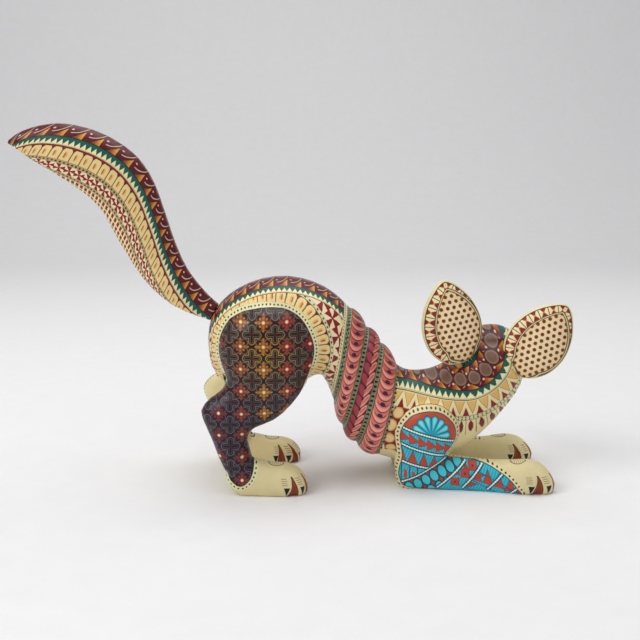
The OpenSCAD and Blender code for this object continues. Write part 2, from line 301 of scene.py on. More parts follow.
def piece_from(name, co, quads, chosen, normals, marks, paint_of_face, paints):
    """One closed piece of a larger skin: its own faces, capped inside, with the whole skin's normals."""
    own = quads[chosen]
    used, index = np.unique(own, return_inverse=True)
    index = index.reshape(-1, 4)
    verts = [tuple(v) for v in (co[used] + ZERO) * MM]
    faces = [tuple(dict.fromkeys(f)) for f in index.tolist()]
    slots = list(paint_of_face[chosen])
    ways = {}
    for f in faces:
        for a, b in zip(f, f[1:] + f[:1]):
            ways[(a, b)] = True
    follow = {b: a for (a, b) in ways if (b, a) not in ways}
    skin_count = len(faces)
    while follow:
        start = next(iter(follow))
        loop = [start]
        at = follow.pop(start)
        while at != start and at in follow:
            loop.append(at)
            at = follow.pop(at)
        if len(loop) < 3:
            continue
        hub = len(verts)
        verts.append(tuple(np.mean([verts[v] for v in loop], axis=0)))
        faces += [(loop[i], loop[(i + 1) % len(loop)], hub) for i in range(len(loop))]
        slots += [slots[0]] * len(loop)
    mesh = bpy.data.meshes.new(name)
    mesh.from_pydata(verts, [], faces)
    mesh.polygons.foreach_set("material_index", slots)
    mesh.polygons.foreach_set("use_smooth", [True] * skin_count + [False] * (len(faces) - skin_count))
    for mark, values in marks.items():
        layer = mesh.attributes.new(mark, "FLOAT_VECTOR", "POINT")
        data = np.zeros((len(verts), 3))
        data[: len(used)] = values[used]
        layer.data.foreach_set("vector", data.ravel())
    corner_normals = np.zeros((len(mesh.loops), 3))
    at = 0
    for number, f in enumerate(faces):
        if number < skin_count:
            corner_normals[at : at + len(f)] = normals[used[list(f)]]
        at += len(f)
    mesh.normals_split_custom_set([tuple(n) for n in corner_normals])
    for paint in paints:
        mesh.materials.append(paint)
    return placed(name, mesh)


# ---------------------------------------------------------------- paint

CREAM = "#E6D6A2"
PEACH = "#DDB06C"
MAROON = "#5C0D17"
PLUM = "#2A1018"
WINE = "#741420"
TEAL = "#0F5A50"
BOTTLE = "#1E3A2E"
TAUPE = "#86685A"
BRICK = "#8E2B26"
CLAW_BLACK = "#15131A"
COPAL = "#C79A66"
INK_BLUE = "#0B4A5E"
VERMILION = "#C0432A"
STRAW = "#EBDCA6"
MOSS = "#3C4A34"
AMBER = "#DFA03C"
SOOT = "#1B0B0E"
CHERRY = "#8A1520"
OXBLOOD = "#7C1820"
REED = "#D6D0A0"
IVORY = "#E3DCAC"
LICHEN = "#8C8A66"
DARK_WINE = "#2E0E14"
GARNET = "#7E1C20"
PAW_CREAM = "#E0D19E"
TURQUOISE = "#1CA6BC"
SAND = "#B9A070"
RED_BROWN = "#7A2E20"
CRIMSON = "#8E2328"
UMBER = "#2A1A16"


def linear(colour):
    """An sRGB hex colour as linear RGBA."""
    channels = [int(colour[i : i + 2], 16) / 255 for i in (1, 3, 5)]
    return [c / 12.92 if c <= 0.04045 else ((c + 0.055) / 1.055) ** 2.4 for c in channels] + [1.0]


def add(tree, kind, inputs, **settings):
    """Adds a node with its settings, and sets or links its inputs."""
    node = tree.nodes.new(kind)
    for key, value in settings.items():
        setattr(node, key, value)
    for key, value in inputs.items():
        if isinstance(value, Term):
            tree.links.new(value.socket, node.inputs[key])
        elif isinstance(value, bpy.types.NodeSocket):
            tree.links.new(value, node.inputs[key])
        else:
            node.inputs[key].default_value = value
    return node


class Term:
    """A number in a paint, so that a painted shape reads as a sum."""

    def __init__(self, tree, socket):
        self.tree = tree
        self.socket = socket

    def by(self, operation, *others, clamp=False):
        inputs = dict(enumerate((self,) + others))
        node = add(self.tree, "ShaderNodeMath", inputs, operation=operation, use_clamp=clamp)
        return Term(self.tree, node.outputs[0])

    def __add__(self, other):
        return self.by("ADD", other)

    __radd__ = __add__

    def __sub__(self, other):
        return self.by("SUBTRACT", other)

    def __rsub__(self, other):
        return self.by("MULTIPLY_ADD", -1.0, other)

    def __mul__(self, other):
        return self.by("MULTIPLY", other)

    __rmul__ = __mul__

    def __truediv__(self, other):
        return self.by("DIVIDE", other)

    def __abs__(self):
        return self.by("ABSOLUTE")


def reach(x, y):
    """Distance from zero."""
    return (x * x + y * y).by("SQRT")


def filled(outside, soft=0.14):
    """1 where a distance is negative, with a brush's soft edge in millimetres."""
    return outside.by("MULTIPLY_ADD", -0.5 / soft, 0.5, clamp=True)


def between(v, low, high, soft=0.14):
    """1 where a number lies between two others."""
    return filled(abs(v - (low + high) / 2) - (high - low) / 2, soft)


def in_row(v, pitch, shift=0.0):
    """Place within a repeat of that pitch, from its middle, in millimetres."""
    return ((v / pitch + shift).by("FRACT") - 0.5) * pitch


def spot(x, y, radius, soft=0.14):
    """A round dot about zero."""
    return filled(reach(x, y) - radius, soft)


class Coat:
    """One painted finish: layers of colour laid one over another on a wooden piece."""

    def __init__(self, name, ground):
        self.material = bpy.data.materials.new(name)
        self.material.use_nodes = True
        self.tree = self.material.node_tree
        self.tree.nodes.clear()
        self.colour = linear(ground)
        grain = add(self.tree, "ShaderNodeNewGeometry", {})
        self.place = grain.outputs["Position"]
        wander = add(self.tree, "ShaderNodeTexNoise",
                     {"Vector": self.place, "Scale": 420.0, "Detail": 1.0})
        self.wander = wander.outputs["Color"]

    def marks(self, name, shake=0.35):
        """The three numbers that a piece carries at each place under that name, with a hand's shake."""
        mark = add(self.tree, "ShaderNodeAttribute", {}, attribute_name=name)
        shaken = add(self.tree, "ShaderNodeVectorMath",
                     {0: self.wander, 1: (shake,) * 3, 2: mark.outputs["Vector"]},
                     operation="MULTIPLY_ADD")
        split = add(self.tree, "ShaderNodeSeparateXYZ", {0: shaken.outputs[0]})
        return [Term(self.tree, out) for out in split.outputs]

    def lay(self, colour, mask):
        """Paints a colour where the mask is 1."""
        paint = linear(colour) if isinstance(colour, str) else colour
        mix = add(self.tree, "ShaderNodeMix", {0: mask, 6: self.colour, 7: paint}, data_type="RGBA")
        self.colour = mix.outputs[2]

    def graded(self, factor, stops):
        """A colour that runs through stops of (place, hex)."""
        ramp = add(self.tree, "ShaderNodeValToRGB", {0: factor})
        elements = ramp.color_ramp.elements
        while len(elements) < len(stops):
            elements.new(1.0)
        for element, (place, colour) in zip(elements, stops):
            element.position = place
            element.color = linear(colour)
        return ramp.outputs[0]

    def done(self, roughness=0.38, uneven=1.0):
        """Adds the satin acrylic and the wood's faint brush marks, and closes the paint."""
        brush = add(self.tree, "ShaderNodeTexNoise",
                    {"Vector": self.place, "Scale": 900.0, "Detail": 3.0, "Roughness": 0.6})
        wear = add(self.tree, "ShaderNodeTexNoise",
                   {"Vector": self.place, "Scale": 60.0, "Detail": 4.0, "Roughness": 0.6})
        shade = add(self.tree, "ShaderNodeMapRange",
                    {0: wear.outputs[0], 1: 0.3, 2: 0.7, 3: 1 - 0.07 * uneven, 4: 1 + 0.05 * uneven})
        tone = add(self.tree, "ShaderNodeHueSaturation", {"Value": shade.outputs[0], "Color": self.colour})
        rough = add(self.tree, "ShaderNodeMapRange",
                    {0: wear.outputs[0], 1: 0.3, 2: 0.7, 3: roughness - 0.05, 4: roughness + 0.07})
        bump = add(self.tree, "ShaderNodeBump",
                   {"Height": brush.outputs[0], "Strength": 0.2 * uneven, "Distance": 0.00012})
        gloss = add(self.tree, "ShaderNodeBsdfPrincipled",
                    {"Base Color": tone.outputs[0], "Roughness": rough.outputs[0],
                     "Normal": bump.outputs[0], "Specular IOR Level": 0.3})
        add(self.tree, "ShaderNodeOutputMaterial", {"Surface": gloss.outputs[0]})
        return self.material


def claw_band(coat, cell, pitch, girth, edge):
    """Maroon band of hooked claws: a pale arc and a dot in each, and an orange wedge at its foot."""
    u = cell.by("FRACT")
    h = girth / edge
    coat.lay(MAROON, filled(girth - edge))
    coat.lay(TAUPE, filled((h - u * (1.0 - u) * 0.8) * edge, 0.3))
    arc = abs(reach((u - 0.25) / 0.75, h / 0.72) - 1.0) * 7.0
    hook = filled((0.25 - u) * pitch)
    coat.lay("#2A0A10", filled(arc - 0.55) * hook * 0.8)
    coat.lay("#D9B8A4", filled(arc - 0.24, 0.16) * hook)
    coat.lay("#E8BFB0", spot((u - 0.24) * pitch, (h - 0.5) * edge, 0.6))
    w = (u - 0.3) / 0.7
    top = 1.0 - w.by("MAXIMUM", 0.0).by("POWER", 1.5) * 0.52
    flame = coat.graded(w * 0.8 + (1.0 - h) * 0.3, [(0.1, "#4A100E"), (0.5, "#A0521C"), (0.85, AMBER)])
    coat.lay(flame, filled((top - h) * edge) * filled(girth - edge + 0.2) * filled((0.3 - u) * pitch))
    coat.lay("#23080C", filled(abs((top - h) * edge) - 0.16) * filled((0.36 - u) * pitch) * 0.9)
    coat.lay(SOOT, filled(abs(girth - edge) - 0.25))


def saw_teeth(coat, along, across, solid, low, high, pitch):
    """Teal line whose teeth bite into the cream beside it."""
    coat.lay(TEAL, between(across, solid, high))
    tooth = abs(in_row(along, pitch)) - (across - low) * (pitch / 2 / (high - low))
    coat.lay("#F2E4AE", filled(tooth, 0.1) * between(across, low, high + 0.3))
    coat.lay("#1A2A1E", filled(abs(across - high - 0.3) - 0.15) * 0.6)


def petal_row(coat, along, across, round_end, square_end, pitch):
    """Cream petals on dark red: round at one end, square at the other, each with an orange heart."""
    x = in_row(along, pitch)
    length = abs(square_end - round_end)
    way = 1.0 if square_end > round_end else -1.0
    rise = (across - round_end) * way
    coat.lay(WINE, between(across, min(round_end, square_end), max(round_end, square_end)))
    body = between(rise, 0.3, length - 0.2)
    crown = reach(x, (2.6 - rise).by("MAXIMUM", 0.0) * 0.9) - pitch * 0.455
    coat.lay("#3A1210", filled(crown - 0.35) * body)
    coat.lay("#EED08E", filled(crown) * body)
    heart = reach(x * 1.3 - 0.3, (rise - length * 0.55) * 0.55) - 1.0
    coat.lay("#D98F3A", filled(heart, 0.5) * 0.75 * body)
    coat.lay("#7A3A14", filled(abs(x - 0.6) - 0.22) * between(rise, length * 0.35, length * 0.75))


def dotted_border(coat, along, across, middle, pitch, width=2.0, radius=0.55, colour=CREAM):
    """Pale border with one row of dark dots."""
    coat.lay(colour, between(across, middle - width / 2, middle + width / 2))
    coat.lay(BOTTLE, spot(in_row(along, pitch), across - middle, radius))


def pinwheels(coat, along, across, middle, pitch, mask):
    """Row of eight-part pinwheels in dark red."""
    x = in_row(along, pitch)
    y = across - middle
    blade = (y.by("ARCTAN2", x) * 4.0 + 0.6).by("SINE") * reach(x, y)
    coat.lay(CHERRY, mask)
    coat.lay("#F0DDB0", filled(blade + 0.5, 0.25) * mask)


def rump_paint():
    """Satin acrylic in rings round the thigh, under the back's maroon claws and teal teeth."""
    coat = Coat("rump_acrylic", OXBLOOD)
    s, g, t = coat.marks("body")
    a, d = coat.marks("thigh")[:2]
    for middle in (14.9, 24.4, 33.9):
        pinwheels(coat, a, d, middle, 7.4, between(d, middle - 3.8, middle + 3.8))
        dotted_border(coat, a, d, middle + 4.7, 2.2, 1.9, 0.45, REED)
    dotted_border(coat, a, d, 10.2, 2.2, 1.8, 0.45, REED)
    petal_row(coat, a, d, 9.3, 2.4, 5.0)
    dotted_border(coat, a, d, 1.2, 2.2, 2.6, 0.5, IVORY)
    coat.lay(PLUM, filled(d))
    coat.lay("#EADBA4", between(g, 20.4, 21.4))
    coat.lay(OXBLOOD, filled(abs(g - 21.6) - 0.3))
    saw_teeth(coat, s, g, 15.6, 17.4, 20.5, 3.2)
    claw_pitch = 8.4
    claw_band(coat, s / claw_pitch, claw_pitch, g, 15.6)
    groove = FIRST_ROLL * ROW_STEP - t
    coat.lay("#DDD2A2", filled(groove - 4.2))
    coat.lay(BOTTLE, spot(in_row(g, 2.2), groove - 3.2, 0.42))
    coat.lay(LICHEN, filled(groove - 1.9))
    coat.lay(CLAW_BLACK, spot(in_row(g, 2.9), groove - 0.4, 0.7))
    return coat.done()


def waist_paint():
    """Three rolls: two of scales laid like tiles and a plait of leaves between them."""
    coat = Coat("waist_acrylic", WINE)
    girth, ahead = coat.marks("body", 0.12)[1:]
    t = ahead / ROW_STEP
    # The rolls lie aslant, so rows across them start lower at the front
    g = girth + t * 9.6
    v = t.by("FRACT")
    h = (v - 0.5) * ROW_STEP
    tint = girth / 62.0 + t * 0.08 - 0.7
    mid = coat.graded(tint, [(0.0, "#8A3E2E"), (0.35, "#BA5048"), (0.75, "#D67668")])
    pale = coat.graded(tint, [(0.0, "#B07A5E"), (0.35, "#DC8A78"), (0.75, "#EBA08E")])
    dark = coat.graded(tint, [(0.0, "#4A1C1A"), (0.6, "#7A2438")])
    bow = (1.0 - h * h * 0.044).by("MAXIMUM", 0.0).by("SQRT") * 6.5
    pitch = 6.3
    m = ((g - bow) / pitch).by("FRACT") * pitch
    coat.lay(mid, filled(m * -1.0))
    coat.lay(pale, filled(abs(m - 4.6) - 0.95) * filled(abs(h) - 4.9))
    coat.lay(dark, filled(abs(m - 2.5) - 0.3) * filled(abs(h) - 3.2))
    coat.lay(dark, filled(abs(m - 6.0) - 0.35))
    coat.lay("#431838", spot(h * 0.75, ((g / pitch).by("FRACT") - 0.28) * pitch, 1.15))
    leaf = between(t, 9.0, 10.0, 0.01)
    n = ((g + abs(h) * 0.8) / pitch).by("FRACT") * pitch
    right = filled(h * -1.0)
    coat.lay(dark, leaf)
    tip = abs(n - 3.1) + (abs(h) - 2.6).by("MAXIMUM", 0.0) * 0.75
    coat.lay("#A03A44", filled(tip - 2.5) * leaf)
    coat.lay(pale, filled(tip - 2.7) * leaf * right)
    coat.lay(mid, filled(tip - 1.4) * leaf * right)
    coat.lay(DARK_WINE, filled(abs(n - 0.3) - 0.3) * leaf)
    coat.lay(DARK_WINE, spot(h, n - 0.9, 0.8) * leaf)
    edge = 0.5 - abs(v - 0.5)
    coat.lay(LICHEN, filled((edge - 0.135) * ROW_STEP))
    coat.lay("#2A2A20", filled(abs(edge - 0.135) * ROW_STEP - 0.2))
    coat.lay(CLAW_BLACK, spot(in_row(g, 2.9), (edge - 0.03) * ROW_STEP, 0.7))
    return coat.done()


def neck_rows(name):
    """The band from waist to crown, with its teeth, triangles and lens shapes."""
    coat = Coat(name, STRAW)
    s, e, width = coat.marks("neck")
    row = coat.marks("throat")[0]
    a, d, y = coat.marks("shoulder")
    x = in_row(row, 5.0)
    coat.lay("#6E5A3C", filled(abs(abs(x) - 2.5) - 0.15) * between(e, 17.0, 27.5))
    lens = abs(x) + (e - 21.5) * (e - 21.5) * 0.07 - 1.2
    coat.lay(GARNET, filled(lens))
    coat.lay("#D9D3A2", between(e, 14.7, 17.3))
    coat.lay(BOTTLE, spot(in_row(row, 2.1), abs(e - 16.0) - 0.6, 0.42))
    coat.lay("#3A4A34", filled(abs(abs(e - 16.0) - 1.4) - 0.13))
    slope = (14.6 - e) * 0.41
    tri = abs(in_row(row, 7.5)) - slope
    coat.lay("#E2B568", filled(tri + 0.55) * between(e, 6.0, 14.6))
    coat.lay("#9A6A2C", filled(abs(tri + 0.45) - 0.16) * between(e, 5.8, 14.6))
    red = abs(in_row(row, 7.5, 0.5)) - (e - 9.2) * 0.34
    coat.lay("#8A1420", filled(red) * between(e, 9.3, 14.7))
    coat.lay("#3C2A1A", between(e, 5.0, 5.5))
    saw_teeth(coat, s, e, -0.3, 0.9, 4.2, 3.1)
    coat.lay(MAROON, filled(e))
    inner = e + width
    pitch = 8.2
    oval = reach(in_row(s, pitch) / 2.9, inner / width * 2.1) - 1.0
    hook = abs(in_row(s + inner * 0.55, pitch, 0.5)) - 0.24
    coat.lay("#C59A88", filled(hook) * filled(inner - width * 0.75))
    coat.lay("#1E0A0C", filled(oval * 2.0 - 0.75))
    coat.lay("#8E6C58", filled(oval * 2.0 - 0.4))
    coat.lay("#6E5040", filled(oval * 2.0 + 0.05, 0.3))
    coat.lay("#E8B8A8", spot(in_row(s, pitch, 0.5), inner - width * 0.5, 0.6))
    wedge = in_row(s, pitch, 0.35)
    flame = coat.graded(wedge / 7.0 + 0.5, [(0.1, "#4A1410"), (0.5, "#A8581C"), (0.85, AMBER)])
    coat.lay(flame, filled(abs(wedge) - 3.4 - e * 0.9) * between(e, -3.6, -0.35))
    coat.lay(SOOT, filled(abs(e + 0.2) - 0.22))
    behind = filled(a - 34.0) * filled(y * -1.0 + 16.0) * filled(14.8 - e)
    coat.lay(GARNET, between(d, 2.6, 9.5) * behind)
    oval = reach(in_row(a, 6.4) / 2.7, (d - 6.0) / 3.1) - 1.0
    coat.lay("#D9A25C", filled(oval * 2.0) * behind)
    coat.lay("#E9C88C", filled(oval * 2.0 + 0.45) * behind)
    coat.lay("#3A2A1E", filled(abs(d - 2.7) - 0.18) * filled(y * -1.0 + 12.0))
    dotted_border(coat, a, d, 1.4, 2.5, 2.4, 0.58)
    return coat


def toes(coat):
    """Cream toes with rust wedges between them, black claws, fine hatching and a hatched oval on top."""
    phi, r, z = coat.marks("paw", 0.2)
    front = filled(8.5 - r) * filled(abs(phi) - 2.5 * TOE_FAN)
    side = in_row(phi, TOE_FAN, 0.5) * r * DEGREE
    lines = filled(abs(in_row(z, 1.15)) - 0.17, 0.12) * filled(abs(side - 1.0) - 1.5)
    coat.lay("#4A3A2C", lines * between(z, 7.0, 11.2) * front * 0.75)
    wedge = abs(in_row(phi, TOE_FAN)) * r * DEGREE - (12.5 - z) * 0.2
    inner = filled(abs(phi) - 2.0 * TOE_FAN)
    coat.lay("#2A1210", filled(wedge - 0.3) * filled(z - 12.0) * front * inner)
    coat.lay("#8E3A18", filled(wedge) * filled(z - 11.4) * front * inner)
    claw = abs(side) - (z - 0.6) * 0.32
    coat.lay(CLAW_BLACK, filled(claw) * filled(z - 5.8) * front)
    ahead = (phi * DEGREE).by("COSINE") * r
    across = (phi * DEGREE).by("SINE") * r
    oval = reach(ahead - 0.5, across * 1.2) - 4.6
    coat.lay("#7A705C", filled(11.0 - z) * filled(oval) * filled(abs(in_row(ahead, 1.3)) - 0.2) * 0.7)
    coat.lay("#5A5242", filled(abs(oval) - 0.3) * filled(11.0 - z))


def thigh_paint():
    """Satin acrylic, near black: a fine lattice of crosses with glowing blooms, over a cream paw."""
    coat = Coat("thigh_acrylic", PAW_CREAM)
    toes(coat)
    a, d = coat.marks("thigh")[:2]
    x, z = coat.marks("place")[::2]
    coat.lay("#1E0B13", filled(d))
    near = reach((x + 30.0) * 0.8, z - 86.0) / 46.0
    line = coat.graded(near, [(0.05, "#B58F3A"), (0.35, "#7C6A50"), (0.8, "#5E5A66")])
    embers = [(0.0, "#7A3A44"), (0.25, "#A8503A"), (0.5, "#E0A23A"), (0.7, "#C0502A"), (0.95, "#A8242A")]
    ember = coat.graded((x + 66.0) / 64.0 + (z - 80.0) * 0.003, embers)
    dark = filled(d + 0.4)
    cross_pitch = 13.3
    u = in_row(x + 32.6, cross_pitch, 0.5)
    v = in_row(z - 90.2, cross_pitch, 0.5)
    bloom = reach(u, v)
    coat.lay("#5A1820", (1.0 - bloom / 6.0).by("MAXIMUM", 0.0) * dark * 0.8)
    for reach_out, size in ((2.5, 0.95), (4.4, 0.6)):
        coat.lay(ember, spot(abs(u) - reach_out, v, size, 0.4) * dark * 0.6)
        coat.lay(ember, spot(u, abs(v) - reach_out, size, 0.4) * dark * 0.6)
    coat.lay(ember, spot(abs(u) - 1.9, abs(v) - 1.9, 0.6, 0.25) * dark * 0.8)
    coat.lay(ember, (1.0 - bloom / 2.2).by("MAXIMUM", 0.0) * dark)
    coat.lay("#F4D9A4", spot(u, v, 0.8, 0.35) * dark)
    lobes = reach(abs(u) - 2.4, abs(v) - 2.4) - 1.9
    coat.lay(line, filled(abs(lobes) - 0.2) * filled(3.2 - bloom) * dark * 0.75)
    u = abs(in_row(x + 32.6, cross_pitch))
    v = abs(in_row(z - 90.2, cross_pitch))
    level = reach((u - 3.6).by("MAXIMUM", 0.0), v)
    arm = level.by("MINIMUM", reach(u, (v - 3.6).by("MAXIMUM", 0.0))) - 1.8
    coat.lay(line, filled(abs(arm) - 0.26) * dark)
    coat.lay(line, filled(abs(arm + 1.0) - 0.13) * dark * 0.7)
    coat.lay("#4A1820", spot(u, v, 0.9, 0.3) * dark)
    coat.lay(ember, spot(u - 6.6, v - 2.6, 0.4) * dark * 0.7)
    coat.lay(ember, spot(u - 2.6, v - 6.6, 0.4) * dark * 0.7)
    dotted_border(coat, a, d, 1.2, 2.2, 2.6, 0.5, IVORY)
    return coat.done(0.36)


def beaded(coat, x, z, start, end, mask):
    """A dark line with pale beads on it, from one point of the side view to another."""
    way = Vector(end) - Vector(start)
    length = way.length
    way.normalize()
    along = (x - start[0]) * way.x + (z - start[1]) * way.y
    off = (z - start[1]) * way.x - (x - start[0]) * way.y
    coat.lay(INK_BLUE, filled(abs(off) - 1.25) * between(along, 0.0, length) * mask)
    beads = filled(reach(in_row(along, 1.5) * 0.8, off) - 0.55)
    coat.lay("#9FDCE0", filled(abs(off) - 0.3) * between(along, 0.2, length) * mask)
    coat.lay("#E4F2E6", beads * between(along, 0.2, length) * mask)


def foreleg_paint():
    """Satin acrylic, ribbed turquoise: beaded lines part it into bays of vermilion figures."""
    coat = Coat("foreleg_acrylic", PAW_CREAM)
    toes(coat)
    a, d = coat.marks("shoulder")[:2]
    x, z = coat.marks("place")[::2]
    patch = filled(d)
    ribs = filled(abs(in_row(x - z * 0.4, 1.7)) - 0.3, 0.25)
    coat.lay(TURQUOISE, patch)
    coat.lay("#5CCFDA", ribs * patch * 0.6)
    w = z + (x - 48.0) * 0.28
    # Under the curve from elbow to shoulder
    past = (z - 4.8) - (x - 48.7) * 0.565
    second = (z - 2.9) - (x - 69.6) * 0.92
    third = (z - 2.9) - (x - 85.0) * 1.26
    arrow = abs(w - 34.4) - (3.0 - in_row(x, 5.2)) * 0.55
    coat.lay(INK_BLUE, filled(arrow - 0.4) * between(w, 30.6, 38.4) * patch)
    coat.lay(VERMILION, filled(arrow) * between(w, 31.0, 38.0) * patch)
    peak = abs(in_row(x, 6.4)) - (27.4 - w) * 0.36
    coat.lay(INK_BLUE, filled(peak - 0.4) * between(w, 19.6, 29.0) * patch)
    coat.lay(VERMILION, filled(peak) * between(w, 19.8, 28.6) * patch)
    bars = filled(w - 18.6) * filled(past * -1.0) * patch
    coat.lay(INK_BLUE, filled(abs(in_row(x, 4.6)) - 0.28) * bars)
    coat.lay(VERMILION, filled(abs(in_row(x, 4.6, 0.5)) - 0.9) * filled(abs(w - 11.5) - 3.0) * bars)
    u = x - 64.7
    v = z - 35.6
    r = reach(u, v)
    side = in_row(v.by("ARCTAN2", u), math.tau / FAN_PETALS, 0.5) * r
    drop = reach(side, (r - 9.6).by("MAXIMUM", 0.0)) - (r * 0.2).by("MINIMUM", 1.95)
    fan = filled(39.6 - w) * patch
    coat.lay("#BE4A2C", fan)
    coat.lay(INK_BLUE, filled(drop - 0.45) * fan)
    coat.lay(TURQUOISE, filled(drop) * fan)
    coat.lay("#7FE0E6", filled(drop + 0.8, 0.4) * fan)
    p = (x - 48.7) * 0.87 + (z - 4.8) * 0.49
    q = (z - 4.8) * 0.87 - (x - 48.7) * 0.49
    first_bay = filled(past) * filled(second * -1.0) * patch
    seed = reach(in_row(p, 5.4) / 2.2, in_row(q + 5.0, 7.6, 0.5) / 3.3) - 1.0
    coat.lay("#B8402A", first_bay)
    coat.lay(INK_BLUE, filled(seed * 2.0 - 0.7) * first_bay)
    coat.lay("#4CC8D4", filled(seed * 2.0) * first_bay)
    second_bay = filled(second) * filled(third * -1.0) * patch
    for at_x, at_z in ((80.1, 6.2), (85.9, 11.2), (90.5, 15.4)):
        square = abs(x - at_x).by("MAXIMUM", abs(z - at_z)) - 1.5
        coat.lay(INK_BLUE, filled(square - 1.1) * second_bay)
        coat.lay(VERMILION, filled(abs(square) - 0.85) * second_bay)
    third_bay = filled(third) * patch
    coat.lay(INK_BLUE, filled(abs(in_row(x * 0.5 + z, 7.0)) - 0.2) * third_bay)
    for at_x, at_z, size in ((94.2, 10.5, 2.6), (90.0, 5.0, 2.6), (110.4, 2.8, 1.5)):
        dart = abs(z - at_z) - (at_x + size - x) * 0.4
        outline = filled(dart - 0.35) * between(x, at_x - size - 0.3, at_x + size + 0.8)
        coat.lay(INK_BLUE, outline * third_bay)
        coat.lay(VERMILION, filled(dart) * between(x, at_x - size, at_x + size) * third_bay)
    for start, end in (((47, 39.7), (79, 31)), ((46, 29.9), (76, 21.4)), ((45.5, 19.6), (66.4, 14)),
                       ((48.7, 4.8), (74.5, 19.4)), ((69.6, 2), (86.5, 18)), ((84.4, 2), (96.5, 17)),
                       ((99, 2), (107.5, 12)), ((112, 0), (117.6, 6))):
        beaded(coat, x, z, start, end, patch)
    coat.lay(INK_BLUE, filled(abs(d + 0.2) - 0.25))
    dotted_border(coat, a, d, 1.4, 2.5, 2.2, 0.58)
    return coat.done()


def tail_paint():
    """Satin acrylic in bands along the tail: maroon claws, teal teeth, petals, pinwheels and dashes."""
    coat = Coat("tail_acrylic", STRAW)
    s, g = coat.marks("body")[:2]
    cell = coat.marks("cells", 0.0)[0]
    for middle in (40.6, 44.6, 48.6, 52.6):
        coat.lay(CHERRY, filled(abs(in_row(s, 2.8)) - 0.85) * between(g, middle - 1.5, middle + 1.5))
    dotted_border(coat, s, g, 37.6, 2.2, 2.4, 0.6, SAND)
    pinwheels(coat, s, g, 33.3, 5.7, between(g, 30.2, 36.4))
    dotted_border(coat, s, g, 29.1, 2.2, 2.4, 0.62, SAND)
    petal_row(coat, s, g, 19.4, 28.0, 5.7)
    coat.lay("#7E1420", between(g, 18.4, 19.5))
    coat.lay(STRAW, between(g, 17.7, 18.4))
    saw_teeth(coat, s, g, 12.5, 14.3, 17.8, 3.2)
    claw_pitch = 8.8
    claw_band(coat, cell * -1.0, claw_pitch, g, 12.5)
    return coat.done()


def staggered_dots(coat, x, z, radius, mask):
    """Rows of red-brown dots, every other row shifted by half a step."""
    step, row = 3.9, 3.35
    odd = ((z / (2 * row)).by("FRACT") - 0.5).by("GREATER_THAN", 0.0)
    coat.lay(RED_BROWN, spot(in_row(x + odd * (step / 2), step), in_row(z, row), radius) * mask)


def ear_paint():
    """Satin acrylic: a dotted cream panel in a bordered frame behind, and maroon in the hollow."""
    coat = Coat("ear_acrylic", "#EACD96")
    x, depth, z = coat.marks("ear", 0.2)
    a, d = coat.marks("outline", 0.2)[:2]
    root = (9.0 - z).by("MAXIMUM", 0.0)
    panel = d - x * 0.2 - root * 0.5
    coat.lay("#F2DCAC", filled(panel + 8.0, 2.5))
    staggered_dots(coat, x, z, 1.12, filled(panel + 5.6))
    border = filled(panel * -1.0 - 4.6) * filled(d + 1.0)
    q = in_row(a, 6.4)
    coat.lay("#F0DFAA", border)
    cross = abs(q) - abs(d + 3.4) * 0.7 - 0.4
    coat.lay(CRIMSON, filled(cross) * filled(abs(q) - 2.5) * border)
    coat.lay("#D08A50", spot(q, d + 3.4, 0.6) * border)
    coat.lay(UMBER, filled(abs(q) * -1.0 + 2.95) * border)
    coat.lay(MOSS, filled(abs(abs(panel + 5.1) - 0.55) - 0.25))
    coat.lay(UMBER, filled(abs(d + 1.1) - 0.28) * filled(root - 2.0))
    coat.lay("#E6D6A0", filled(d * -1.0 - 0.85))
    front = filled(-0.4 - depth)
    coat.lay("#B8503C", front * filled(d + 1.6))
    coat.lay("#E8C48A", front * filled(d + 5.4))
    coat.lay(MAROON, front * filled(d + 6.2))
    coat.lay(PEACH, front * spot(in_row(x, 5.0), in_row(z, 5.0), 0.8) * filled(d + 6.8))
    return coat.done()


